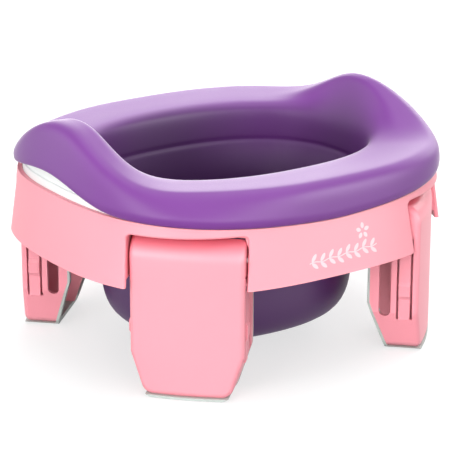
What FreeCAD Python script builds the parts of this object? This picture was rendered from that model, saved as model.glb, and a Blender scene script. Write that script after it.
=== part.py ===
"""Folding travel potty: a skirted base on four folding legs, a hard seat ring with a splash hump at each
end, and a soft lift-out liner that is seat cover and bowl in one piece.

Millimetres.  +Z is up, the origin is on the floor under the middle of the seat, the child faces -Y and the
long axis runs along Y.  Most shapes follow an outline that goes once round the seat, so they are built from
a polar angle: a profile gives (reach, height) stations at that angle, and a skin joins them all round.
"""
import FreeCAD, Part
import math
import os

V = FreeCAD.Vector

# Base: an oval skirt that leans in towards its top edge, with a deck plate inside it
SKIRT_X, SKIRT_Y = 117.5, 128.0      # half-axes of the bottom edge
SKIRT_POWER = 2.73                   # superellipse exponent: a rounded oval
SKIRT_LEAN = 5.0                     # how much the top edge is inside the bottom edge
SKIRT_BOTTOM = 67.3
SKIRT_TOP = 100.4                    # at the sides; higher at the ends
SKIRT_TOP_RISE = 7.0
SKIRT_WALL = 2.8
DECK_TOP = 100.0
DECK_THICK = 2.4
HOLE_PLAY = 3.2                      # the deck's hole is this much wider than the seat's
HOLE_LIP = 6.0                       # short flange down from the deck's hole
HOLE_LIP_WALL = 2.0

# Legs: channels that stand in the corner cut-outs and swing out about a level pin
LEG_ANGLES = {"front_right": -45.0, "back_right": 45.0, "back_left": 135.0, "front_left": 225.0}
LEG_FACE = 127.5                     # from the origin to the middle of the outer face
LEG_FACE_RADIUS = 190.0              # the outer face is gently rounded
LEG_WIDTH = 67.5
LEG_FOOT_WIDTH = 51.0
LEG_WIDE_FROM = 26.7                 # height where the sides stop widening
LEG_FOOT_ROUND = 7.0
LEG_DEPTH = 29.5                     # from the outer face's side edges to the open rim
LEG_FOOT_DEPTH = 18.6
LEG_DEEP_FROM = 33.0
LEG_WALL = 2.2
LEG_EDGE_ROUND = 3.6
LEG_WEB = 2.0                        # a rib down the middle of the channel,
LEG_WEB_FROM = 8.0                   # from just above the foot's edging,
LEG_WEB_PROUD = 4.0                  # that stands out past the open rim
PIVOT_HEIGHT = 84.5
KNUCKLE = 12.3                       # the leg's rounded top is concentric with the pin
RIM_TOP = 82.0
BARREL_RADIUS = 4.4
PIN_RADIUS = 2.0
PIN_PLAY = 0.06
CUT_PLAY = 1.0                       # between a leg's side and the cut-out
CUT_TOP = 98.9
CUT_ROUND = 3.5
CUT_EDGE_ROUND = 1.2                 # the skirt's outer edge all round a cut-out
CHEEK_THICK = 2.6
CHEEK_BOTTOM = 72.0
CHEEK_DEPTH = 30.0
CHEEK_CORNER = 8.0

# Grips: soft edging over each leg's rim and under its foot
GRIP_THICK = 1.5
GRIP_LIP = 1.2
GRIP_LIP_DEPTH = 4.5
GRIP_TOP = 74.0

# Latch tabs: springy tongues in the legs' sides, and the oblong hole beside each
TAB_DEPTH = 8.3                      # from the face's side edge to the tab's centre line
TAB_WIDTH = 6.9
TAB_GAP = 1.4
TAB_ROOT = 23.0
TAB_END = 74.0
TAB_ROOT_PLAY = 0.3
TAB_THICK = 1.8
BUMP_FROM, BUMP_TO = 36.0, 47.5
BUMP_PROUD = 1.3
CATCH_FROM, CATCH_TO = 69.5, 72.5
CATCH_PROUD = 0.5
OBLONG_DEPTH = 20.2
OBLONG_WIDTH = 7.2
OBLONG_FROM, OBLONG_TO = 24.5, 72.0

# Seat and liner: the crest is low at the sides and rises to a hump at each end
CREST = 123.6
HUMP_RISE = {-1: 27.2, 1: 22.9}      # front hump and back hump
HUMP_FLAT_ANGLE = 2.0                # a hump keeps its full height this far from the end, in degrees
HUMP_HALF_ANGLE = 38.0               # and has faded out here
CORNER_ANGLE = 50.6                  # the rim leans in at its two front corners, this far from the front,
CORNER_HALF_ANGLE = 31.7             # over this much to each side,
CORNER_TUCK = 5.0                    # by this much
HOLE_X, HOLE_Y = 71.1, 90.4
HOLE_POWER = 2.39
BOWL_X, BOWL_Y = 67.5, 78.0
BOWL_POWER = 2.2
BOWL_FLOOR = 12.0
BOWL_TOP = 97.0                      # a soft crease where the bowl begins under the seat
LINER_THICK = 2.5
LINER_PLAY = 0.4                     # between the liner and everything it rests on
LIP_PLAY = 0.3
FRONT_GAP = 13.35                    # the liner's edge lifts this much at the front, for fingers,
FRONT_GAP_MIDDLE = 267.0             # most of all in this direction, a little to the left of the middle,
FRONT_GAP_SIDES = ((45.0, 1.6), (30.0, 2.0))   # and fades over (half-angle, exponent) to the left and right
SEAT_WALL = 2.2
SEAT_STEP_HEIGHT = 4.5
SEAT_STEP = 0.8

# Screws that hold the seat to the deck, and the bosses they bite into
SCREW_SPOTS = ((95.0, 30.0), (-95.0, 30.0), (-95.0, -30.0), (95.0, -30.0))
SCREW_RADIUS = 1.5
SCREW_LENGTH = 11.0
SCREW_HEAD_RADIUS, SCREW_HEAD = 3.0, 1.8
BOSS_RADIUS = 3.6
BOSS_REACH = 1.1                     # how far a boss runs into the seat's skin

AROUND = 48                          # control points in one turn of a skin
POLE_SWELL = 3.0 / (2.0 + math.cos(2.0 * math.pi / AROUND))   # a closed spline runs inside its poles

# The liner's rim, from its outer lip over the crest to the bowl, at the sides and over the humps.  Lip
# pairs are (beyond the skirt's top edge, above the lip), crown pairs are (beyond that edge, above the
# crest), and inner pairs are (share of the way from the hole's edge to the last crown station, above the crest).
LIP_STATIONS = ((-0.3, 0.0), (1.1, 0.1), (2.3, 4.0), (2.1, 6.8))
SIDE_CROWN = ((1.7, -4.0), (-3.3, 0.5), (-6.9, 0.8))
HUMP_CROWN = ((-0.9, -10.5), (-12.1, -2.0), (-16.6, 2.2))
SIDE_INNER = ((0.69, 0.2), (0.33, -0.6), (0.03, -1.7), (-0.02, -8.2))
HUMP_INNER = ((0.79, -3.2), (0.46, -17.6), (0.03, -27.5), (-0.02, -38.5))


def superellipse(angle, half_x, half_y, power):
    return (abs(math.cos(angle) / half_x) ** power + abs(math.sin(angle) / half_y) ** power) ** (-1.0 / power)


def skirt_edge(angle):
    """Reach of the skirt's outer top edge."""
    return superellipse(angle, SKIRT_X - SKIRT_LEAN, SKIRT_Y - SKIRT_LEAN, SKIRT_POWER)


def skirt_top(angle):
    """Height of the skirt's top edge, which rises towards both ends."""
    share = abs(skirt_edge(angle) * math.sin(angle)) / (SKIRT_Y - SKIRT_LEAN)
    return SKIRT_TOP + SKIRT_TOP_RISE * share ** 1.2


def hole_edge(angle):
    return superellipse(angle, HOLE_X, HOLE_Y, HOLE_POWER)


def from_end(angle, end):
    """Angle between a direction and one end of the seat (+1 back, -1 front), in degrees."""
    return math.degrees(math.acos(max(-1.0, min(1.0, end * math.sin(angle)))))


def hump(angle, end):
    """1 at the middle of one end, falling smoothly to 0 towards the sides."""
    off = (from_end(angle, end) - HUMP_FLAT_ANGLE) / (HUMP_HALF_ANGLE - HUMP_FLAT_ANGLE)
    return math.cos(math.pi / 2.0 * max(0.0, min(1.0, off))) ** 2


def either_hump(angle):
    return hump(angle, -1) + hump(angle, 1)


def corner_tuck(angle):
    off = min(1.0, abs(from_end(angle, -1) - CORNER_ANGLE) / CORNER_HALF_ANGLE)
    return CORNER_TUCK * math.cos(math.pi / 2.0 * off) ** 2


def lip_height(angle):
    """Height of the liner's lower edge: on the skirt, but lifted at the front."""
    turn = math.degrees(angle) % 360.0 - FRONT_GAP_MIDDLE
    half, power = FRONT_GAP_SIDES[turn > 0.0]
    return skirt_top(angle) + LIP_PLAY + FRONT_GAP * (1.0 - min(1.0, abs(turn) / half) ** power) ** 2


def crest(angle):
    return CREST + sum(HUMP_RISE[end] * hump(angle, end) for end in HUMP_RISE)


def mix(first, second, share):
    return [(a[0] + share * (b[0] - a[0]), a[1] + share * (b[1] - a[1])) for a, b in zip(first, second)]


def offset(stations, distance):
    """Stations moved to the left of the way they run, which is into the material, with mitred corners."""
    moved = []
    last = len(stations) - 1
    for i, (r, z) in enumerate(stations):
        before, after = stations[max(0, i - 1)], stations[min(last, i + 1)]
        ways = []
        for start, end in ((before, (r, z)), ((r, z), after)):
            length = math.hypot(end[0] - start[0], end[1] - start[1])
            if length > 0.0:
                ways.append(((end[0] - start[0]) / length, (end[1] - start[1]) / length))
        normal = (-sum(w[1] for w in ways) / len(ways), sum(w[0] for w in ways) / len(ways))
        square = normal[0] ** 2 + normal[1] ** 2
        moved.append((r + distance * normal[0] / square, z + distance * normal[1] / square))
    return moved


def skin(net):
    """Face through rows of (reach, height) stations, one row per angle, closed around the seat."""
    poles = []
    for i, row in enumerate(net):
        angle = 2.0 * math.pi * i / AROUND
        poles.append([V(POLE_SWELL * r * math.cos(angle), POLE_SWELL * r * math.sin(angle), z) for r, z in row])
    count = len(net[0])
    degree = min(3, count - 1)
    spans = count - degree
    surface = Part.BSplineSurface()
    surface.buildFromPolesMultsKnots(
        poles, [1] * (AROUND + 1), [degree + 1] + [1] * (spans - 1) + [degree + 1],
        [float(k) for k in range(AROUND + 1)], [float(k) for k in range(spans + 1)], True, False, 3, degree)
    return surface.toShape()


def disc(stations):
    """Flat face inside one closed ring of stations that share a height."""
    poles = []
    for i, (r, z) in enumerate(stations):
        angle = 2.0 * math.pi * i / AROUND
        poles.append(V(POLE_SWELL * r * math.cos(angle), POLE_SWELL * r * math.sin(angle), z))
    curve = Part.BSplineCurve()
    curve.buildFromPolesMultsKnots(poles, [1] * (AROUND + 1), [float(k) for k in range(AROUND + 1)], True, 3)
    return Part.Face(Part.Wire([curve.toShape()]))


def around(profile, runs, discs=()):
    """Solid whose section at each angle is profile(angle).  Each run is (first, last) station of one smooth
    skin, and each disc closes the ring at one station."""
    rows = [profile(2.0 * math.pi * i / AROUND) for i in range(AROUND)]
    faces = []
    for first, last in runs:
        faces.append(skin([row[first:last + 1] if last else [row[first], row[0]] for row in rows]))
    for station in discs:
        faces.append(disc([row[station] for row in rows]))
    shell = Part.makeShell(faces)
    shell.sewShape()
    solid = Part.makeSolid(shell)
    if solid.Volume < 0.0:
        solid.reverse()
    return solid


def box(low, high):
    return Part.makeBox(high[0] - low[0], high[1] - low[1], high[2] - low[2], V(*low))


def rod(radius, start, end):
    way = V(*end) - V(*start)
    return Part.makeCylinder(radius, way.Length, V(*start), way)


def at_corner(shape, angle):
    """Turns a shape made with its outer face towards +X to a leg's corner."""
    turned = shape.copy()
    turned.rotate(V(0, 0, 0), V(0, 0, 1), angle)
    return turned


def write(name, shape):
    solid = shape.removeSplitter() if shape.ShapeType != "Solid" else shape
    print(f"{name:34s} valid {solid.isValid()}  solids {len(solid.Solids)}  volume {solid.Volume / 1000.0:8.2f} cm3")
    solid.exportStep(f"parts/{name}.step")


# ---- liner and seat -------------------------------------------------------------------------------------

def rim_stations(angle):
    """The liner's upper side from the lip to just inside the hole."""
    edge, hole, top, share = skirt_edge(angle), hole_edge(angle), crest(angle), either_hump(angle)
    stations = [(edge + out, lip_height(angle) + up) for out, up in LIP_STATIONS]
    crown = edge - corner_tuck(angle)
    stations += [(crown + out, top + up) for out, up in mix(SIDE_CROWN, HUMP_CROWN, share)]
    band = stations[-1][0] - hole
    stations += [(hole + part * band, top + up) for part, up in mix(SIDE_INNER, HUMP_INNER, share)]
    return stations


def bowl_stations(angle):
    """The liner's inside from the crease under the seat to the middle of its floor."""
    wall = superellipse(angle, BOWL_X, BOWL_Y, BOWL_POWER)
    hole = hole_edge(angle)
    return [(hole - 1.0, BOWL_TOP + 3.0), (hole - 1.6, BOWL_TOP - 3.0), (wall + 1.0, BOWL_TOP - 22.0), (wall, 44.0),
            (wall - 1.0, 27.0), (wall - 8.0, BOWL_FLOOR + 1.2), (wall - 24.0, BOWL_FLOOR), (8.0, BOWL_FLOOR)]


def liner_profile(angle):
    upper = rim_stations(angle) + bowl_stations(angle)
    edge, lip = skirt_edge(angle), lip_height(angle)
    under = offset(upper, LINER_THICK)
    lip_inside = [(edge - SKIRT_WALL, lip), (edge - 2.4, lip + 2.0), (edge - 1.6, lip + 5.0), (edge - 1.0, lip + 8.0)]
    floor_edge = (upper[-1][0], BOWL_FLOOR - LINER_THICK)
    return upper + [floor_edge] + list(reversed(under[4:-1])) + list(reversed(lip_inside))


def make_liner():
    stations = len(liner_profile(0.0))
    upper = len(rim_stations(0.0)) + len(bowl_stations(0.0))
    return around(liner_profile, [(0, upper - 1), (upper, stations - 1), (stations - 1, 0)], [upper - 1, upper])


def seat_profile(angle):
    """Closed section of the hard seat: its top follows the liner, its two feet stand on the deck."""
    edge, hole, foot = skirt_edge(angle) - SKIRT_WALL - LINER_PLAY, hole_edge(angle), DECK_TOP
    step = skirt_top(angle) + SEAT_STEP_HEIGHT
    rim = rim_stations(angle)[3:]
    top = offset(rim, LINER_THICK + LINER_PLAY)[2:]
    under = offset(rim, LINER_THICK + LINER_PLAY + SEAT_WALL)[2:]
    wall = edge - SEAT_STEP
    shoulder = (wall - 0.8 - 0.4 * corner_tuck(angle), crest(angle) - LINER_THICK - 7.5 - 7.0 * either_hump(angle))
    outside = [(edge, foot), (edge, step), (wall, step + 0.6), (wall, step + 3.0), shoulder] + top
    inside = [(edge - SEAT_WALL, foot), (edge - SEAT_WALL, step), (wall - SEAT_WALL, step + 0.6),
              (wall - SEAT_WALL, step + 3.0), (shoulder[0] - SEAT_WALL, shoulder[1] - 0.8)] + under
    inner_foot = [(hole + 3.0, foot), (hole + 3.0 + SEAT_WALL, foot)]
    return outside + inner_foot + list(reversed(inside))


def make_seat():
    count = len(seat_profile(0.0))
    half = count // 2
    runs = [(0, 1), (1, 2), (2, half - 1), (half - 1, half), (half, count - 3), (count - 3, count - 2),
            (count - 2, count - 1), (count - 1, 0)]
    seat = around(seat_profile, runs)
    for x, y in SCREW_SPOTS:
        angle = math.atan2(y, x)
        skin_under = crest(angle) - LINER_THICK - LINER_PLAY - SEAT_WALL
        boss = rod(BOSS_RADIUS, (x, y, DECK_TOP), (x, y, skin_under + BOSS_REACH))
        pilot = rod(SCREW_RADIUS, (x, y, DECK_TOP), (x, y, DECK_TOP + SCREW_LENGTH - DECK_THICK + 0.5))
        seat = seat.fuse(boss).cut(pilot)
    return seat


def make_screws():
    screws = []
    for x, y in SCREW_SPOTS:
        under = DECK_TOP - DECK_THICK
        shank = rod(SCREW_RADIUS, (x, y, under), (x, y, under + SCREW_LENGTH))
        screws.append(shank.fuse(rod(SCREW_HEAD_RADIUS, (x, y, under - SCREW_HEAD), (x, y, under))))
    return Part.makeCompound(screws)


# ---- base -----------------------------------------------------------------------------------------------

def skirt_at(angle, height, inside=0.0):
    """Reach of the skirt's wall at a height."""
    lean = SKIRT_LEAN * (height - SKIRT_BOTTOM) / (skirt_top(angle) - SKIRT_BOTTOM)
    return superellipse(angle, SKIRT_X - lean, SKIRT_Y - lean, SKIRT_POWER) - inside


def base_profile(angle):
    """Section of the skirt, the deck inside it and the short lip round the deck's hole."""
    low, high, hole = skirt_at(angle, SKIRT_BOTTOM), skirt_edge(angle), hole_edge(angle) + HOLE_PLAY
    under = DECK_TOP - DECK_THICK
    return [(low, SKIRT_BOTTOM), (high, skirt_top(angle)), (high - SKIRT_WALL, skirt_top(angle)),
            (skirt_at(angle, DECK_TOP, SKIRT_WALL), DECK_TOP), (hole, DECK_TOP), (hole, under - HOLE_LIP),
            (hole + HOLE_LIP_WALL, under - HOLE_LIP), (hole + HOLE_LIP_WALL, under),
            (skirt_at(angle, under, SKIRT_WALL), under), (low - SKIRT_WALL, SKIRT_BOTTOM)]


def leg_cut():
    """The rounded opening that one leg stands in, cut through the skirt."""
    half = LEG_WIDTH / 2.0 + CUT_PLAY
    opening = box((LEG_FACE - 12.0, -half, SKIRT_BOTTOM - 5.0), (LEG_FACE + 20.0, half, CUT_TOP))
    top_edges = [e for e in opening.Edges if e.BoundBox.ZMin > CUT_TOP - 0.1 and e.BoundBox.YLength < 0.1]
    return opening.makeFillet(CUT_ROUND, top_edges)


def wall_distance(leg_angle, aside, height):
    """How far out, along a leg's own direction, the middle of the skirt's wall is at a place beside the leg."""
    low, high = LEG_FACE - CHEEK_DEPTH, LEG_FACE + 20.0
    while high - low > 0.01:
        out = (low + high) / 2.0
        angle = math.radians(leg_angle) + math.atan2(aside, out)
        inside = math.hypot(out, aside) < skirt_at(angle, height, SKIRT_WALL / 2.0)
        low, high = (out, high) if inside else (low, out)
    return low


def cheek(leg_angle, side):
    """One of the two plates beside a leg that hold its pin: from the skirt's wall inwards, under the deck."""
    near = side * (LEG_WIDTH / 2.0 + CUT_PLAY)
    far = near + side * CHEEK_THICK
    top = DECK_TOP - DECK_THICK / 2.0
    inner = LEG_FACE - CHEEK_DEPTH
    out_low, out_high = wall_distance(leg_angle, far, CHEEK_BOTTOM), wall_distance(leg_angle, far, top)
    corners = [V(inner, near, top), V(inner, near, CHEEK_BOTTOM + CHEEK_CORNER),
               V(inner + CHEEK_CORNER, near, CHEEK_BOTTOM), V(out_low, near, CHEEK_BOTTOM), V(out_high, near, top)]
    edges = [Part.LineSegment(corners[i], corners[(i + 1) % 5]).toShape() for i in range(5)]
    return Part.Face(Part.Wire(edges)).extrude(V(0, far - near, 0))


def round_cut_edges(base):
    """Rounds the edges where the cut-outs meet the skirt's outer surface."""
    half = LEG_WIDTH / 2.0 + CUT_PLAY + 0.05
    edges = []
    for edge in base.Edges:
        points = [edge.valueAt(edge.FirstParameter + part * (edge.LastParameter - edge.FirstParameter))
                  for part in (0.0, 0.5, 1.0)]
        outside = all(abs(math.hypot(p.x, p.y) - skirt_at(math.atan2(p.y, p.x), p.z)) < 0.35 for p in points)
        level = all(abs(p.z - SKIRT_BOTTOM) < 0.01 for p in points)
        beside_leg = any(all(abs(p.y * math.cos(a) - p.x * math.sin(a)) < half and p.z < CUT_TOP + 0.05
                             for p in points) for a in map(math.radians, LEG_ANGLES.values()))
        if outside and beside_leg and not level:
            edges.append(edge)
    return base.makeFillet(CUT_EDGE_ROUND, edges)


def make_base():
    under = DECK_TOP - DECK_THICK
    stations = len(base_profile(0.0))
    base = around(base_profile, [(i, i + 1) for i in range(stations - 1)] + [(stations - 1, 0)])
    for angle in LEG_ANGLES.values():
        base = base.cut(at_corner(leg_cut(), angle))
    base = round_cut_edges(base)
    base = base.fuse([at_corner(cheek(angle, side), angle) for angle in LEG_ANGLES.values() for side in (-1, 1)])
    for angle in LEG_ANGLES.values():
        base = base.cut(at_corner(hinge_line(PIN_RADIUS, LEG_WIDTH / 2.0 + CUT_PLAY + CHEEK_THICK + 1.0), angle))
    for x, y in SCREW_SPOTS:
        base = base.cut(rod(SCREW_RADIUS, (x, y, under - 1.0), (x, y, DECK_TOP + 1.0)))
    return base


# ---- legs -----------------------------------------------------------------------------------------------

def hinge_line(radius, half_length):
    """A rod along one leg's hinge axis."""
    reach = LEG_FACE - KNUCKLE
    return rod(radius, (reach, -half_length, PIVOT_HEIGHT), (reach, half_length, PIVOT_HEIGHT))


def face_edge():
    """Reach of the outer face at the leg's side edges."""
    half = LEG_WIDTH / 2.0
    return LEG_FACE - LEG_FACE_RADIUS + math.sqrt(LEG_FACE_RADIUS ** 2 - half ** 2)


def front_outline(inset, floor, top):
    """The leg seen from outside, drawn in the plane of the hinge: wide above, tapered to a rounded foot."""
    wide, foot = LEG_WIDTH / 2.0 - inset, LEG_FOOT_WIDTH / 2.0 - inset
    corners = [(-foot, floor), (foot, floor), (wide, LEG_WIDE_FROM), (wide, top), (-wide, top), (-wide, LEG_WIDE_FROM)]
    edges = [Part.LineSegment(V(0, *corners[i]), V(0, *corners[(i + 1) % 6])).toShape() for i in range(6)]
    prism = Part.Face(Part.Wire(edges)).extrude(V(LEG_FACE + 40.0, 0, 0))
    foot_edges = [e for e in prism.Edges if e.BoundBox.ZMax < floor + 0.1 and e.BoundBox.YLength < 0.1]
    return prism.makeFillet(LEG_FOOT_ROUND - inset, foot_edges)


def side_outline(inset, floor, rim_shift, top_inset=0.0):
    """The leg seen from its side, extruded across it.  rim_shift moves the open rim inwards."""
    pivot_x = LEG_FACE - KNUCKLE
    radius = KNUCKLE - inset
    face = LEG_FACE - inset
    deep, shallow = face_edge() - LEG_DEPTH - rim_shift, face_edge() - LEG_FOOT_DEPTH - rim_shift
    top = PIVOT_HEIGHT + radius
    slope = math.cos(math.radians(45.0))
    points = {"foot_out": (face, floor), "knuckle_out": (face, PIVOT_HEIGHT), "knuckle_top": (pivot_x, top),
              "rim_top": (deep, RIM_TOP - top_inset), "deep": (deep, LEG_DEEP_FROM), "foot_in": (shallow, floor)}
    p = {name: V(x, -60.0, z) for name, (x, z) in points.items()}
    bulge = V(pivot_x + radius * slope, -60.0, PIVOT_HEIGHT + radius * slope)
    edges = [Part.LineSegment(p["foot_out"], p["knuckle_out"]).toShape(),
             Part.Arc(p["knuckle_out"], bulge, p["knuckle_top"]).toShape(),
             Part.LineSegment(p["knuckle_top"], p["rim_top"]).toShape(),
             Part.LineSegment(p["rim_top"], p["deep"]).toShape(),
             Part.LineSegment(p["deep"], p["foot_in"]).toShape(),
             Part.LineSegment(p["foot_in"], p["foot_out"]).toShape()]
    return Part.Face(Part.Wire(edges)).extrude(V(0, 120.0, 0))


def face_round(inset):
    """Upright cylinder whose side is the leg's rounded outer face, rolled over at the top into the knuckle."""
    radius, top = LEG_FACE_RADIUS - inset, PIVOT_HEIGHT + KNUCKLE - inset
    drum = Part.makeCylinder(radius, top + 20.0, V(LEG_FACE - LEG_FACE_RADIUS, 0, -20.0))
    rim = [e for e in drum.Edges if e.BoundBox.ZMin > top - 0.1]
    return drum.makeFillet(KNUCKLE - inset, rim)


def window(depth, width, low, high, rounded):
    """Cutter through both sides of the leg: a slot of a given width, rounded at its ends or square."""
    middle = face_edge() - depth
    cutter = box((middle - width / 2.0, -60.0, low), (middle + width / 2.0, 60.0, high))
    if not rounded:
        return cutter
    ends = [e for e in cutter.Edges if e.BoundBox.YLength > 100.0]
    return cutter.makeFillet(width / 2.0 - 0.01, ends)


def make_leg():
    floor = GRIP_THICK
    body = front_outline(0.0, floor, 100.0).common(side_outline(0.0, floor, 0.0)).common(face_round(0.0))
    upright = [e for e in body.Edges if e.BoundBox.ZLength > 10.0 and e.BoundBox.XMin > face_edge() - 1.0
               and e.BoundBox.ZMax < PIVOT_HEIGHT + 1.0]
    body = body.makeFillet(LEG_EDGE_ROUND, upright)
    hollow = front_outline(LEG_WALL, floor + LEG_WALL, 100.0)
    hollow = hollow.common(side_outline(LEG_WALL, floor + LEG_WALL, 30.0)).common(face_round(LEG_WALL))
    leg = body.cut(hollow)
    leg = leg.cut(window(TAB_DEPTH, TAB_WIDTH + 2.0 * TAB_GAP, TAB_ROOT - TAB_ROOT_PLAY, TAB_END + TAB_GAP, False))
    leg = leg.cut(window(OBLONG_DEPTH, OBLONG_WIDTH, OBLONG_FROM, OBLONG_TO, True))
    web = box((0, -LEG_WEB / 2.0, LEG_WEB_FROM), (LEG_FACE - LEG_WALL / 2.0, LEG_WEB / 2.0, PIVOT_HEIGHT))
    web = web.common(side_outline(0.0, floor, LEG_WEB_PROUD))
    leg = leg.fuse([web, hinge_line(BARREL_RADIUS, LEG_WIDTH / 2.0 - LEG_WALL / 2.0)])
    return leg.cut(hinge_line(PIN_RADIUS + PIN_PLAY, LEG_WIDTH))


def make_grip():
    """Soft edging: a strip over the open rim, a lip inside it, and a pad under the foot."""
    above = box((0, -60, GRIP_TOP), (200, 60, 140))
    outer = front_outline(0.0, 0.0, 100.0)
    wrap = outer.common(side_outline(0.0, 0.0, GRIP_THICK)).common(face_round(0.0))
    wrap = wrap.cut(side_outline(-5.0, GRIP_THICK, 0.0, -20.0))
    mouth = front_outline(LEG_WALL + GRIP_LIP, GRIP_THICK + LEG_WALL + GRIP_LIP, 100.0)
    mouth = mouth.common(side_outline(-5.0, GRIP_THICK, 30.0))
    strip = wrap.cut(mouth)
    lip = front_outline(LEG_WALL, GRIP_THICK + LEG_WALL, 100.0)
    lip = lip.cut(front_outline(LEG_WALL + GRIP_LIP, GRIP_THICK + LEG_WALL + GRIP_LIP, 101.0))
    lip = lip.common(side_outline(0.0, 0.0, 0.5)).cut(side_outline(-5.0, -5.0, -GRIP_LIP_DEPTH, -20.0))
    return strip.fuse(lip).cut(above)


def make_tab(side):
    """One springy tongue, flush in the leg's side, with a finger bump and a small catch at its free end."""
    half = LEG_WIDTH / 2.0
    middle = face_edge() - TAB_DEPTH
    low, high = middle - TAB_WIDTH / 2.0, middle + TAB_WIDTH / 2.0
    outside, inside = side * half, side * (half - TAB_THICK)
    y = sorted((outside, inside))
    tongue = box((low, y[0], TAB_ROOT), (high, y[1], TAB_END))
    pieces = []
    for start, end, proud in ((BUMP_FROM, BUMP_TO, BUMP_PROUD), (CATCH_FROM, CATCH_TO, CATCH_PROUD)):
        ramp = min(2.5, (end - start) / 3.0)
        root = side * (half - TAB_THICK / 2.0)
        top = side * (half + proud)
        corners = [(root, start), (outside, start), (top, start + ramp), (top, end - ramp), (outside, end), (root, end)]
        edges = [Part.LineSegment(V(low, *corners[i]), V(low, *corners[(i + 1) % 6])).toShape() for i in range(6)]
        pieces.append(Part.Face(Part.Wire(edges)).extrude(V(TAB_WIDTH, 0, 0)))
    return tongue.fuse(pieces)


def main():
    os.makedirs("parts", exist_ok=True)
    write("liner", make_liner())
    write("seat_ring", make_seat())
    write("seat_screws", make_screws())
    write("base_frame", make_base())
    leg, grip = make_leg(), make_grip()
    pin = hinge_line(PIN_RADIUS, LEG_WIDTH / 2.0 + CUT_PLAY + CHEEK_THICK)
    tabs = {side: make_tab(side) for side in (-1, 1)}
    for number, (corner, angle) in enumerate(LEG_ANGLES.items()):
        write(f"leg_{corner}", at_corner(leg, angle))
        write(f"leg_grip_{corner}", at_corner(grip, angle))
        write(f"hinge_pin_{corner}", at_corner(pin, angle))
        facing = ("end", "side") if number % 2 == 0 else ("side", "end")
        for side, word in zip((-1, 1), facing):
            write(f"latch_tab_{corner}_{word}", at_corner(tabs[side], angle))


main()
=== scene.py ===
"""Folding travel potty: the looks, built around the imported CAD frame.  Metres, same frame as the CAD:
+Z up, origin on the floor under the middle of the seat, the child faces -Y."""
import math

import bmesh
import bpy
import numpy as np
from mathutils import Matrix, Vector
from mathutils.bvhtree import BVHTree


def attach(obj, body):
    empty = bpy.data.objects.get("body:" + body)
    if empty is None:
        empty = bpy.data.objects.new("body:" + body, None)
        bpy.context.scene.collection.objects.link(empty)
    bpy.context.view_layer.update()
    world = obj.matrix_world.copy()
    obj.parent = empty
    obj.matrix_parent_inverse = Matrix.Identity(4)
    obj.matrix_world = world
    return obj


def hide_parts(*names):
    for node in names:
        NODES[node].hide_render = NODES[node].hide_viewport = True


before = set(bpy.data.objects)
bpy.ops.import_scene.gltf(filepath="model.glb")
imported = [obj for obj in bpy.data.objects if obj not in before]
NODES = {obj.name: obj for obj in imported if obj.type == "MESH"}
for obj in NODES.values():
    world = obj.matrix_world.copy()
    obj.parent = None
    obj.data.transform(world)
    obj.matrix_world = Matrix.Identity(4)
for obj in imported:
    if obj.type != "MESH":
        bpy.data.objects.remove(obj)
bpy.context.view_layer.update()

MM = 0.001

# ---- shape laws shared with the CAD (millimetres, angles in degrees) --------------------------------------
# stations are places along the liner's section, each set measured as the line above it says
SKIRT_X, SKIRT_Y, SKIRT_POWER, SKIRT_LEAN = 117.5, 128.0, 2.73, 5.0
SKIRT_TOP, SKIRT_TOP_RISE, SKIRT_TOP_POWER = 100.4, 7.0, 1.2
CREST = 123.6
HUMP_RISE = {-1: 27.2, 1: 22.9}                  # by end: -1 is the front, 1 is the back
HUMP_FLAT_ANGLE, HUMP_HALF_ANGLE = 2.0, 38.0
CORNER_ANGLE, CORNER_HALF_ANGLE, CORNER_TUCK = 50.6, 31.7, 5.0
HOLE_X, HOLE_Y, HOLE_POWER = 71.1, 90.4, 2.39
BOWL_X, BOWL_Y, BOWL_POWER = 67.5, 78.0, 2.2
BOWL_FLOOR, BOWL_TOP, BOWL_MIDDLE = 12.0, 97.0, 8.0
LINER_THICK = 2.5
LIP_PLAY = 0.3
FRONT_GAP, FRONT_GAP_MIDDLE = 13.35, 267.0       # the soft edge gapes most a little to the left of the middle
FRONT_GAP_SIDES = ((45.0, 1.6), (30.0, 2.0))     # (half-angle, exponent) to the left and to the right of that
# lip and crown: out from the skirt's edge, up from the lip or from the crest
LIP_STATIONS = ((-0.3, 0.0), (1.1, 0.1), (2.3, 4.0), (2.1, 6.8))
SIDE_CROWN = ((1.7, -4.0), (-3.3, 0.5), (-6.9, 0.8))
HUMP_CROWN = ((-0.9, -10.5), (-12.1, -2.0), (-16.6, 2.2))
# inner slope: share of the way from the hole's edge to the crown, up from the crest
SIDE_INNER = ((0.69, 0.2), (0.33, -0.6), (0.03, -1.7), (-0.02, -8.2))
HUMP_INNER = ((0.79, -3.2), (0.46, -17.6), (0.03, -27.5), (-0.02, -38.5))
# neck and bowl: out from the hole's edge or from the bowl's wall, and the height itself
HOLE_STATIONS = ((-1.0, BOWL_TOP + 3.0), (-1.6, BOWL_TOP - 3.0))
BOWL_STATIONS = ((1.0, BOWL_TOP - 22.0), (0.0, 44.0), (-1.0, 27.0), (-8.0, BOWL_FLOOR + 1.2),
                 (-24.0, BOWL_FLOOR))
# inside of the lip, which takes the place of the first stations of the under side
LIP_INSIDE = ((-2.8, 0.0), (-2.4, 2.0), (-1.6, 5.0), (-1.0, 8.0))
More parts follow.
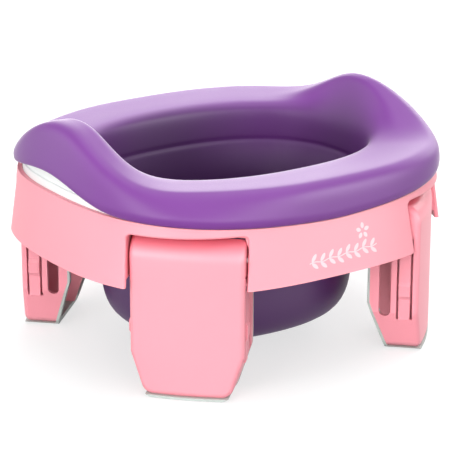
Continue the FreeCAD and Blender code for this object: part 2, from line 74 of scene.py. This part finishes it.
# the soft upper side is a little fuller than the CAD's: flat-topped humps, and a lip that flares at the gap
LIP_FLARED = ((1.2, 0.0), (2.5, 0.2), (2.4, 3.0), (1.9, 6.8))
FULL_CROWN = {-1: ((-0.6, -9.0), (-3.4, -0.2), (-16.0, -0.6)),
              1: ((-0.6, -10.0), (-11.0, -1.5), (-16.6, 1.8))}
SIDE_INNER_FULL = ((0.72, 0.2), (0.52, -0.2), (0.33, -0.6), (0.03, -1.7), (-0.02, -8.2))
FULL_INNER = {-1: ((0.78, 0.0), (0.60, -3.0), (0.40, -13.0), (0.03, -27.5), (-0.02, -38.5)),
              1: ((0.80, 0.6), (0.60, -1.0), (0.42, -12.0), (0.03, -27.5), (-0.02, -38.5))}
AROUND = 48                                      # poles in each turn of the liner's spline skin
UPPER_STEPS, UNDER_STEPS, TURN_STEPS = 8, 5, 6   # mesh steps to each span of that skin
POLE_SWELL = 3.0 / (2.0 + math.cos(2.0 * math.pi / AROUND))


def superellipse(angle, half_x, half_y, power):
    return (abs(math.cos(angle) / half_x) ** power + abs(math.sin(angle) / half_y) ** power) ** (-1.0 / power)


def skirt_edge(angle):
    return superellipse(angle, SKIRT_X - SKIRT_LEAN, SKIRT_Y - SKIRT_LEAN, SKIRT_POWER)


def skirt_top(angle):
    share = abs(skirt_edge(angle) * math.sin(angle)) / (SKIRT_Y - SKIRT_LEAN)
    return SKIRT_TOP + SKIRT_TOP_RISE * share ** SKIRT_TOP_POWER


def from_end(angle, end):
    """Degrees between a direction and the front or back end."""
    return math.degrees(math.acos(max(-1.0, min(1.0, end * math.sin(angle)))))


def hump(angle, end):
    """How far up an end's hump is: 1 on its flat middle, 0 along the sides."""
    off = (from_end(angle, end) - HUMP_FLAT_ANGLE) / (HUMP_HALF_ANGLE - HUMP_FLAT_ANGLE)
    return math.cos(math.pi / 2.0 * max(0.0, min(1.0, off))) ** 2


def either_hump(angle):
    return hump(angle, -1) + hump(angle, 1)


def corner_tuck(angle):
    off = min(1.0, abs(from_end(angle, -1) - CORNER_ANGLE) / CORNER_HALF_ANGLE)
    return CORNER_TUCK * math.cos(math.pi / 2.0 * off) ** 2


def lip_height(angle):
    turn = math.degrees(angle) % 360.0 - FRONT_GAP_MIDDLE
    half, power = FRONT_GAP_SIDES[turn > 0.0]
    return skirt_top(angle) + LIP_PLAY + FRONT_GAP * (1.0 - min(1.0, abs(turn) / half) ** power) ** 2


def crest(angle):
    return CREST + sum(HUMP_RISE[end] * hump(angle, end) for end in HUMP_RISE)


def mix(first, second, share):
    return [(a[0] + share * (b[0] - a[0]), a[1] + share * (b[1] - a[1])) for a, b in zip(first, second)]


def offset(stations, distance):
    """The section's line moved sideways by the liner's thickness."""
    moved = []
    last = len(stations) - 1
    for i, (r, z) in enumerate(stations):
        before, after = stations[max(0, i - 1)], stations[min(last, i + 1)]
        ways = []
        for start, end in ((before, (r, z)), ((r, z), after)):
            length = math.hypot(end[0] - start[0], end[1] - start[1])
            if length > 0.0:
                ways.append(((end[0] - start[0]) / length, (end[1] - start[1]) / length))
        normal = (-sum(w[1] for w in ways) / len(ways), sum(w[0] for w in ways) / len(ways))
        square = normal[0] ** 2 + normal[1] ** 2
        moved.append((r + distance * normal[0] / square, z + distance * normal[1] / square))
    return moved


def liner_sections(angle, full):
    """(upper, under) stations of the liner at one angle: lip to bowl floor, and floor back to the lip.
    The full upper side is the soft one that shows, and the other one is the CAD's."""
    edge, top, share = skirt_edge(angle), crest(angle), either_hump(angle)
    hole = superellipse(angle, HOLE_X, HOLE_Y, HOLE_POWER)
    wall = superellipse(angle, BOWL_X, BOWL_Y, BOWL_POWER)
    lip = lip_height(angle)
    end = 1 if math.sin(angle) > 0.0 else -1
    flare = math.sqrt(max(0.0, lip - skirt_top(angle) - LIP_PLAY) / FRONT_GAP) if full else 0.0
    crown_shape = mix(SIDE_CROWN, FULL_CROWN[end] if full else HUMP_CROWN, share)
    inner_shape = mix(SIDE_INNER_FULL, FULL_INNER[end], share) if full else mix(SIDE_INNER, HUMP_INNER, share)
    upper = [(edge + out, lip + up) for out, up in mix(LIP_STATIONS, LIP_FLARED, flare)]
    crown = edge - corner_tuck(angle)
    upper += [(crown + out, top + up) for out, up in crown_shape]
    band = upper[-1][0] - hole
    upper += [(hole + part * band, top + up) for part, up in inner_shape]
    upper += [(hole + out, height) for out, height in HOLE_STATIONS]
    upper += [(wall + out, height) for out, height in BOWL_STATIONS]
    upper.append((BOWL_MIDDLE, BOWL_FLOOR))
    under = [(BOWL_MIDDLE, BOWL_FLOOR - LINER_THICK)]
    under += reversed(offset(upper, LINER_THICK)[len(LIP_INSIDE):-1])
    under += reversed([(edge + out, lip + up) for out, up in LIP_INSIDE])
    return upper, under


def spline_rows(count, steps):
    """Weights that turn count poles into points of a clamped uniform cubic, steps to each span."""
    spans = count - 3
    knots = [0.0] * 3 + [float(k) for k in range(spans + 1)] + [float(spans)] * 3
    rows = []
    for at in np.linspace(0.0, spans, spans * steps + 1):
        t = min(at, spans - 1e-9)
        basis = [1.0 if knots[i] <= t < knots[i + 1] else 0.0 for i in range(len(knots) - 1)]
        for degree in (1, 2, 3):
            for i in range(len(basis) - degree):
                left = knots[i + degree] - knots[i]
                right = knots[i + degree + 1] - knots[i + 1]
                basis[i] = ((t - knots[i]) / left * basis[i] if left else 0.0) + (
                    (knots[i + degree + 1] - t) / right * basis[i + 1] if right else 0.0)
        rows.append(basis[:count])
    return np.array(rows)


def turn_columns(steps):
    """Weights that turn AROUND poles into points of a closed uniform cubic, steps to each span."""
    rows = []
    for i in range(AROUND * steps):
        k, t = divmod(i / steps, 1.0)
        row = np.zeros(AROUND)
        for shift, weight in ((-1, (1 - t) ** 3), (0, 3 * t ** 3 - 6 * t * t + 4),
                              (1, -3 * t ** 3 + 3 * t * t + 3 * t + 1), (2, t ** 3)):
            row[(int(k) + shift) % AROUND] += weight / 6.0
        rows.append(row)
    return np.array(rows)


def swept(stations, steps_along, steps_around):
    """Points (rows, columns, xyz) of the skin through stations(angle) all round, in millimetres."""
    angles = [2.0 * math.pi * i / AROUND for i in range(AROUND)]
    net = np.array([[(POLE_SWELL * r * math.cos(a), POLE_SWELL * r * math.sin(a), z) for r, z in stations(a)]
                    for a in angles])
    along, around = spline_rows(net.shape[1], steps_along), turn_columns(steps_around)
    return np.einsum("sp,ca,apx->scx", along, around, net)


# ---- mesh helpers -----------------------------------------------------------------------------------------

def new_object(name, points, faces, smooth=True):
    mesh = bpy.data.meshes.new(name)
    mesh.from_pydata([tuple(p) for p in points], [], faces)
    mesh.update()
    obj = bpy.data.objects.new(name, mesh)
    bpy.context.scene.collection.objects.link(obj)
    for poly in mesh.polygons:
        poly.use_smooth = smooth
    return obj


def grid_faces(rows, columns, first=0):
    faces = []
    for r in range(rows - 1):
        for c in range(columns):
            d = (c + 1) % columns
            faces.append((first + r * columns + c, first + r * columns + d,
                          first + (r + 1) * columns + d, first + (r + 1) * columns + c))
    return faces


def sharpen(obj, degrees):
    """Smooth shading, with edges sharper than an angle kept crisp."""
    mesh = obj.data
    bm = bmesh.new()
    bm.from_mesh(mesh)
    for face in bm.faces:
        face.smooth = True
    for edge in bm.edges:
        edge.smooth = len(edge.link_faces) == 2 and edge.calc_face_angle(0.0) < math.radians(degrees)
    bm.to_mesh(mesh)
    bm.free()


def blocks(name, boxes, bevel):
    """One object of separate bevelled blocks, each (low corner, high corner, turn about Z in degrees)."""
    bm = bmesh.new()
    for low, high, turn in boxes:
        for vert in bmesh.ops.create_cube(bm, size=1.0)["verts"]:
            spot = Vector([low[k] + (vert.co[k] + 0.5) * (high[k] - low[k]) for k in range(3)])
            spot.rotate(Matrix.Rotation(math.radians(turn), 3, "Z"))
            vert.co = spot * MM
    bmesh.ops.bevel(bm, geom=bm.edges[:], offset=bevel * MM, segments=2, profile=0.5, affect="EDGES")
    mesh = bpy.data.meshes.new(name)
    bm.to_mesh(mesh)
    bm.free()
    obj = bpy.data.objects.new(name, mesh)
    bpy.context.scene.collection.objects.link(obj)
    return obj


# ---- materials --------------------------------------------------------------------------------------------

def srgb(red, green, blue):
    return tuple(((c / 255.0 + 0.055) / 1.055) ** 2.4 if c > 10 else c / 255.0 / 12.92
                 for c in (red, green, blue)) + (1.0,)


def smooth_rise(nodes, start, end):
    """Node that goes smoothly from 0 to 1 as its value goes from start to end."""
    rise = nodes.new("ShaderNodeMapRange")
    rise.interpolation_type = "SMOOTHSTEP"
    rise.inputs["From Min"].default_value = start
    rise.inputs["From Max"].default_value = end
    return rise


def colour_mix(nodes):
    mixer = nodes.new("ShaderNodeMix")
    mixer.data_type = "RGBA"
    return mixer


def plastic(name, dark, light, roughness, grain_scale, grain, mottle_scale=14.0):
    """Moulded material: two close tones mixed in soft clouds, a fine grain, and uneven polish."""
    mat = bpy.data.materials.new(name)
    mat.use_nodes = True
    nodes, links = mat.node_tree.nodes, mat.node_tree.links
    shader = nodes["Principled BSDF"]
    place = nodes.new("ShaderNodeTexCoord")
    cloud = nodes.new("ShaderNodeTexNoise")
    cloud.inputs["Scale"].default_value = mottle_scale
    cloud.inputs["Detail"].default_value = 3.0
    tone = colour_mix(nodes)
    tone.inputs["A"].default_value = dark
    tone.inputs["B"].default_value = light
    fine = nodes.new("ShaderNodeTexNoise")
    fine.inputs["Scale"].default_value = grain_scale
    fine.inputs["Detail"].default_value = 4.0
    fine.inputs["Roughness"].default_value = 0.6
    bump = nodes.new("ShaderNodeBump")
    bump.inputs["Strength"].default_value = grain
    bump.inputs["Distance"].default_value = GRAIN_DEPTH
    polish = nodes.new("ShaderNodeMapRange")
    polish.inputs["To Min"].default_value = roughness - POLISH_SPREAD[0]
    polish.inputs["To Max"].default_value = roughness + POLISH_SPREAD[1]
    links.new(place.outputs["Object"], cloud.inputs["Vector"])
    links.new(place.outputs["Object"], fine.inputs["Vector"])
    links.new(cloud.outputs["Fac"], tone.inputs["Factor"])
    links.new(tone.outputs["Result"], shader.inputs["Base Color"])
    links.new(cloud.outputs["Fac"], polish.inputs["Value"])
    links.new(polish.outputs["Result"], shader.inputs["Roughness"])
    links.new(fine.outputs["Fac"], bump.inputs["Height"])
    links.new(bump.outputs["Normal"], shader.inputs["Normal"])
    return mat


def silicone():
    """Soft purple with a velvety bloom on the rim, dying away into a plainer bowl painted darker as shade."""
    mat = plastic("silicone_purple", *PURPLE_TONES, 0.50, 1500.0, 0.10)
    nodes, links = mat.node_tree.nodes, mat.node_tree.links
    shader = nodes["Principled BSDF"]
    tone = shader.inputs["Base Color"].links[0].from_node
    place = next(n for n in nodes if n.type == "TEX_COORD")
    oval = nodes.new("ShaderNodeVectorMath")         # its length is about 1 at the hole's edge, less inside
    oval.operation = "MULTIPLY"
    oval.inputs[1].default_value = (1.0 / (HOLE_X * MM), 1.0 / (HOLE_Y * MM), 0.0)
    length = nodes.new("ShaderNodeVectorMath")
    length.operation = "LENGTH"
    rise = smooth_rise(nodes, *BLOOM_AND_SHADE_REACH)
    # painted shade: inside the hole the base colour turns to a darker purple
    shade_mix = colour_mix(nodes)
    shade_mix.inputs["A"].default_value = PURPLE_PAINTED_SHADE
    bloom = nodes.new("ShaderNodeMath")
    bloom.operation = "MULTIPLY"
    bloom.inputs[1].default_value = BLOOM
    links.new(place.outputs["Object"], oval.inputs[0])
    links.new(oval.outputs["Vector"], length.inputs[0])
    links.new(length.outputs["Value"], rise.inputs["Value"])
    links.new(rise.outputs["Result"], shade_mix.inputs["Factor"])
    links.new(tone.outputs["Result"], shade_mix.inputs["B"])
    links.new(shade_mix.outputs["Result"], shader.inputs["Base Color"])
    links.new(rise.outputs["Result"], bloom.inputs[0])
    links.new(bloom.outputs["Value"], shader.inputs["Sheen Weight"])
    shader.inputs["Sheen Roughness"].default_value = 0.22
    shader.inputs["Sheen Tint"].default_value = (1.0, 0.93, 1.0, 1.0)
    return mat


def leg_pink():
    """The legs' pink, painted darker as shade over the knuckle that rolls back under the skirt."""
    mat = plastic("abs_pink_leg", *PINK_TONES, 0.42, 2600.0, 0.08)
    nodes, links = mat.node_tree.nodes, mat.node_tree.links
    shader = nodes["Principled BSDF"]
    tone = shader.inputs["Base Color"].links[0].from_node
    place = next(n for n in nodes if n.type == "TEX_COORD")
    split = nodes.new("ShaderNodeSeparateXYZ")
    rise = smooth_rise(nodes, *KNUCKLE_SHADE_HEIGHTS)
    # painted shade: the pink turns darker going up over the knuckle
    shade_mix = colour_mix(nodes)
    shade_mix.inputs["B"].default_value = PINK_PAINTED_SHADE
    links.new(place.outputs["Object"], split.inputs["Vector"])
    links.new(split.outputs["Z"], rise.inputs["Value"])
    links.new(rise.outputs["Result"], shade_mix.inputs["Factor"])
    links.new(tone.outputs["Result"], shade_mix.inputs["A"])
    links.new(shade_mix.outputs["Result"], shader.inputs["Base Color"])
    return mat


def steel():
    mat = plastic("steel_plain", srgb(170, 170, 174), srgb(186, 186, 190), 0.32, 4000.0, 0.05, 60.0)
    mat.node_tree.nodes["Principled BSDF"].inputs["Metallic"].default_value = 1.0
    return mat


GRAIN_DEPTH = 0.0004
POLISH_SPREAD = (0.05, 0.07)                     # roughness below and above its middle value
# the second purple here is painted shade for the bowl's inside
PURPLE_TONES, PURPLE_PAINTED_SHADE = (srgb(106, 43, 129), srgb(114, 49, 138)), srgb(68, 24, 84)
BLOOM, BLOOM_AND_SHADE_REACH = 0.80, (0.96, 1.15)          # the reach is in shares of the hole's own radius
# the second pink here is painted shade for the legs' knuckles
PINK_TONES, PINK_PAINTED_SHADE = (srgb(243, 149, 162), srgb(248, 157, 170)), srgb(212, 100, 116)
KNUCKLE_SHADE_HEIGHTS = (0.0870, 0.0965)
SILICONE = silicone()
PINK = plastic("abs_pink", *PINK_TONES, 0.42, 2600.0, 0.08)
LEG_PINK = leg_pink()
WHITE = plastic("abs_white", srgb(238, 243, 240), srgb(244, 248, 246), 0.34, 2600.0, 0.06)
GREY = plastic("rubber_grey", srgb(178, 186, 181), srgb(190, 198, 193), 0.62, 1800.0, 0.25)
INK = plastic("print_white", srgb(249, 200, 207), srgb(252, 208, 214), 0.45, 3000.0, 0.05)
STEEL = steel()


def dress(obj, material):
    """Gives a piece its one material and, where it is not a CAD node, its slot."""
    obj.data.materials.clear()
    obj.data.materials.append(material)


# ---- liner ------------------------------------------------------------------------------------------------

CREASE_HEIGHT, CREASE_WIDTH, CREASE_DEPTH = 98.5, 1.5, 0.55
CREASE_FROM = 0.45                               # share of the way from lip to floor where it may start


def crease(upper):
    """Presses a soft groove into the skin where the seat cover turns into the bowl."""
    reach = np.hypot(upper[..., 0], upper[..., 1])
    inside = (np.arange(len(upper)) > len(upper) * CREASE_FROM)[:, None]
    groove = CREASE_DEPTH * np.exp(-((upper[..., 2] - CREASE_HEIGHT) / CREASE_WIDTH) ** 2) * inside
    upper[..., :2] *= ((reach + groove) / reach)[..., None]


def closed_faces(n_upper, n_under, columns):
    """Faces of both skins, the two discs in the middle of the floor, and the lip's edge."""
    faces = [tuple(reversed(f)) for f in grid_faces(n_upper, columns)]
    faces += [tuple(reversed(f)) for f in grid_faces(n_under, columns, n_upper * columns)]
    last_upper, first_under = (n_upper - 1) * columns, n_upper * columns
    last_under = (n_upper + n_under - 1) * columns
    faces.append(tuple(last_upper + c for c in range(columns)))
    faces.append(tuple(first_under + c for c in reversed(range(columns))))
    for c in range(columns):
        d = (c + 1) % columns
        faces.append((c, d, last_under + d, last_under + c))
    return faces


def make_liner():
    upper = swept(lambda a: liner_sections(a, True)[0], UPPER_STEPS, TURN_STEPS)
    under = swept(lambda a: liner_sections(a, False)[1], UNDER_STEPS, TURN_STEPS)
    crease(upper)
    points = np.concatenate([upper.reshape(-1, 3), under.reshape(-1, 3)])
    obj = new_object("liner_soft", points * MM, closed_faces(len(upper), len(under), upper.shape[1]))
    bm = bmesh.new()
    bm.from_mesh(obj.data)
    bmesh.ops.recalc_face_normals(bm, faces=bm.faces)
    bm.to_mesh(obj.data)
    bm.free()
    sharpen(obj, 50.0)
    dress(obj, SILICONE)
    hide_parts("liner")
    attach(obj, "liner")


make_liner()

# ---- hard parts -------------------------------------------------------------------------------------------

FINISHES = (("leg_grip", GREY), ("leg_", LEG_PINK), ("latch_tab", PINK), ("base_frame", PINK),
            ("seat_ring", WHITE), ("hinge_pin", STEEL), ("seat_screws", STEEL))


def dress_hard_parts():
    """The first finish whose start fits a node's name is the node's own."""
    for name, node in NODES.items():
        finish = next((material for start, material in FINISHES if name.startswith(start)), None)
        if finish:
            dress(node, finish)


dress_hard_parts()

# ---- ribs -------------------------------------------------------------------------------------------------
DECK_UNDER = 97.6
RIB_THICK, RIB_DEPTH, RIB_SUNK, RIB_BEVEL = 1.8, 5.6, 0.4, 0.25
RIB_INNER_PLAY, RIB_OUTER_PLAY = 4.2, 2.0
RIB_TURNS = (-18.0, -9.0, 0.0, 9.0, 18.0)        # either side of the middle of each side and end


def make_deck_ribs():
    """Short stiffening ribs under the deck, from the lip round its hole out to the skirt."""
    boxes = []
    for middle in (0.0, 90.0, 180.0, 270.0):
        for off in RIB_TURNS:
            turn = math.radians(middle + off)
            inner = superellipse(turn, HOLE_X, HOLE_Y, HOLE_POWER) + RIB_INNER_PLAY
            outer = skirt_edge(turn) - RIB_OUTER_PLAY
            low = (inner, -RIB_THICK / 2.0, DECK_UNDER - RIB_DEPTH)
            high = (outer, RIB_THICK / 2.0, DECK_UNDER + RIB_SUNK)
            boxes.append((low, high, middle + off))
    ribs = blocks("deck_ribs", boxes, RIB_BEVEL)
    dress(ribs, PINK)
    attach(ribs, "base")


make_deck_ribs()

# ---- printed motif ----------------------------------------------------------------------------------------
PRINT_PROUD, PRINT_SUNK = 0.15, 0.20
STEM_START, STEM_FOOT, STEM_HALF_WIDTH = -21.0, 77.6, 0.28
LEAF_PAIRS, LEAF_PITCH, LEAF_CLIMB = 8, 6.2, 0.35
LEAF_TILTS = (52.0, -40.0)
LEAF_LENGTH, LEAF_WIDTH, LEAF_POINTS = 5.4, 2.3, 24
LEAF_OFFSET = 0.4                                # leaf's stalk end from the stem's middle line
STEM_STEPS = 4                                   # points of the stem to each pair of leaves
STEM_WAVE, STEM_WAVE_STEP = 0.5, 0.8             # height of its waves, and radians of wave to each point
FLOWER_PLACE, FLOWER_EYE = (19.0, 90.2), 1.4
PETALS, PETAL_LENGTH, PETAL_WIDTH = 5, 3.6, 2.4
BASE_MESH = NODES["base_frame"].data
BASE_SURFACE = BVHTree.FromPolygons([vert.co for vert in BASE_MESH.vertices],
                                    [face.vertices for face in BASE_MESH.polygons])


def on_skirt(along, height, out):
    """Point on the skirt's outer surface, from its distance along the curve past the right side's middle."""
    way = Vector((math.cos(along / SKIRT_X), math.sin(along / SKIRT_X), 0.0))
    start = way * 2.0 * SKIRT_Y * MM + Vector((0.0, 0.0, height * MM))
    reach = BASE_SURFACE.ray_cast(start, -way)[0].xy.length
    return tuple(way.xy * (reach / MM + out)) + (height,)


def print_patch(outline, points, faces):
    """Adds one thin closed patch of print, sunk a little into the skirt, with an (along, height) outline."""
    first, count = len(points), len(outline)
    for out in (PRINT_PROUD, -PRINT_SUNK):
        points += [on_skirt(along, height, out) for along, height in outline]
    faces.append(tuple(range(first, first + count)))
    faces.append(tuple(range(first + 2 * count - 1, first + count - 1, -1)))
    for i in range(count):
        j = (i + 1) % count
        faces.append((first + i, first + count + i, first + count + j, first + j))


def leaf(along, height, length, width, tilt):
    """Outline of a pointed leaf with its stalk end at a place."""
    ahead, aside = math.cos(math.radians(tilt)), math.sin(math.radians(tilt))
    outline = []
    for i in range(LEAF_POINTS):
        t = 2.0 * math.pi * i / LEAF_POINTS
        u, v = length * (0.5 - 0.5 * math.cos(t)), width / 2.0 * math.sin(t) * abs(math.sin(t)) ** 0.3
        outline.append((along + u * ahead - v * aside, height + u * aside + v * ahead))
    return outline


def stem_line():
    """Places along the sprig's wavy stem, STEM_STEPS to each pair of leaves."""
    return [(STEM_START + LEAF_PITCH * i / STEM_STEPS,
             STEM_FOOT + LEAF_CLIMB * i / STEM_STEPS + STEM_WAVE * math.sin(i * STEM_WAVE_STEP))
            for i in range(LEAF_PAIRS * STEM_STEPS + 1)]


def make_motif():
    """Generic sprig of leaves with one small flower above it, in pale print beside the front right leg."""
    points, faces = [], []
    stem = stem_line()
    upper_edge = [(along, height + STEM_HALF_WIDTH) for along, height in reversed(stem)]
    print_patch([(along, height - STEM_HALF_WIDTH) for along, height in stem] + upper_edge, points, faces)
    for i in range(LEAF_PAIRS):
        along, height = stem[STEM_STEPS * i + 1]
        for tilt in LEAF_TILTS:
            foot = height + math.copysign(LEAF_OFFSET, tilt)
            print_patch(leaf(along, foot, LEAF_LENGTH, LEAF_WIDTH, tilt), points, faces)
    for i in range(PETALS):
        turn = 90.0 + 360.0 / PETALS * i
        along = FLOWER_PLACE[0] + FLOWER_EYE * math.cos(math.radians(turn))
        height = FLOWER_PLACE[1] + FLOWER_EYE * math.sin(math.radians(turn))
        print_patch(leaf(along, height, PETAL_LENGTH, PETAL_WIDTH, turn), points, faces)
    obj = new_object("skirt_motif", np.array(points) * MM, faces, False)
    dress(obj, INK)
    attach(obj, "base")


make_motif()

# ---- stage ------------------------------------------------------------------------------------------------

FLOOR_HALF, FLOOR_DROP = 4.0, 0.0004
# name, place, height that it points at, (width, height), power
LIGHTS = (("back", (-1.0, 1.4, 0.8), 0.12, (2.2, 1.0), 30.0),
          ("front_left", (0.55, -1.4, 0.4), 0.06, (0.8, 0.6), 14.0),
          ("right", (1.45, -0.3, 0.4), 0.06, (0.8, 0.6), 10.0),
          ("top", (0.0, 0.2, 1.6), 0.1, (1.4, 1.4), 14.0))
SHEEN_LIGHTS = (("sheen_right", (1.30, 0.88, 0.45), 0.08, (1.0, 0.9), 24.0),
                ("sheen_left", (-0.9, -1.2, 0.40), 0.08, (1.0, 0.9), 9.0))


def area_light(name, place, target_height, size, power):
    data = bpy.data.lights.new(name, "AREA")
    data.shape = "RECTANGLE"
    data.size, data.size_y = size
    data.energy = power
    obj = bpy.data.objects.new(name, data)
    bpy.context.scene.collection.objects.link(obj)
    obj.location = place
    aim = Vector((0.0, 0.0, target_height)) - Vector(place)
    obj.rotation_euler = aim.to_track_quat("-Z", "Y").to_euler()
    return obj


def make_floor():
    """Pale floor just under the feet, bright enough to fade into the world round it."""
    corners = [(x * FLOOR_HALF, y * FLOOR_HALF, -FLOOR_DROP) for x, y in ((-1, -1), (1, -1), (1, 1), (-1, 1))]
    floor = new_object("floor", corners, [(0, 1, 2, 3)], False)
    pale = bpy.data.materials.new("floor_pale")
    pale.use_nodes = True
    shader = pale.node_tree.nodes["Principled BSDF"]
    shader.inputs["Base Color"].default_value = (0.35, 0.35, 0.35, 1.0)
    shader.inputs["Roughness"].default_value = 0.9
    shader.inputs["Specular IOR Level"].default_value = 0.1
    shader.inputs["Emission Color"].default_value = (1.0, 1.0, 1.0, 1.0)
    shader.inputs["Emission Strength"].default_value = 0.65
    floor.data.materials.append(pale)
    floor.visible_diffuse = False


def make_world():
    """White studio all round, darker below the horizon so that undersides stay in shade."""
    world = bpy.data.worlds.new("studio")
    bpy.context.scene.world = world
    world.use_nodes = True
    nodes, links = world.node_tree.nodes, world.node_tree.links
    place = nodes.new("ShaderNodeTexCoord")
    split = nodes.new("ShaderNodeSeparateXYZ")
    shade = nodes.new("ShaderNodeMapRange")
    for socket, value in (("From Min", -0.25), ("From Max", 0.05), ("To Min", 0.12), ("To Max", 0.75)):
        shade.inputs[socket].default_value = value
    links.new(place.outputs["Generated"], split.inputs["Vector"])
    links.new(split.outputs["Z"], shade.inputs["Value"])
    links.new(shade.outputs["Result"], nodes["Background"].inputs["Strength"])
    nodes["Background"].inputs["Color"].default_value = (1.0, 1.0, 1.0, 1.0)


CAMERA_TURN, CAMERA_LIFT, CAMERA_DISTANCE = 55.686, 18.608, 1.320
CAMERA_TARGET = Vector((0.0, 0.0, 0.062))


def make_camera():
    turn, lift = math.radians(CAMERA_TURN), math.radians(CAMERA_LIFT)
    away = Vector((math.sin(turn) * math.cos(lift), -math.cos(turn) * math.cos(lift), math.sin(lift)))
    data = bpy.data.cameras.new("camera")
    data.sensor_width = 36.0
    data.lens = 168.1
    data.shift_x, data.shift_y = -0.0035, 0.0122
    data.clip_start, data.clip_end = 0.05, 30.0
    camera = bpy.data.objects.new("camera", data)
    bpy.context.scene.collection.objects.link(camera)
    camera.location = CAMERA_TARGET + CAMERA_DISTANCE * away
    camera.rotation_euler = (-away).to_track_quat("-Z", "Y").to_euler()
    bpy.context.scene.camera = camera


make_floor()
make_world()
for light in LIGHTS:
    area_light(*light)
for light in SHEEN_LIGHTS:                       # these add gloss without lighting the colour under it
    area_light(*light).visible_diffuse = False
make_camera()
bpy.context.scene.view_settings.view_transform = "Standard"
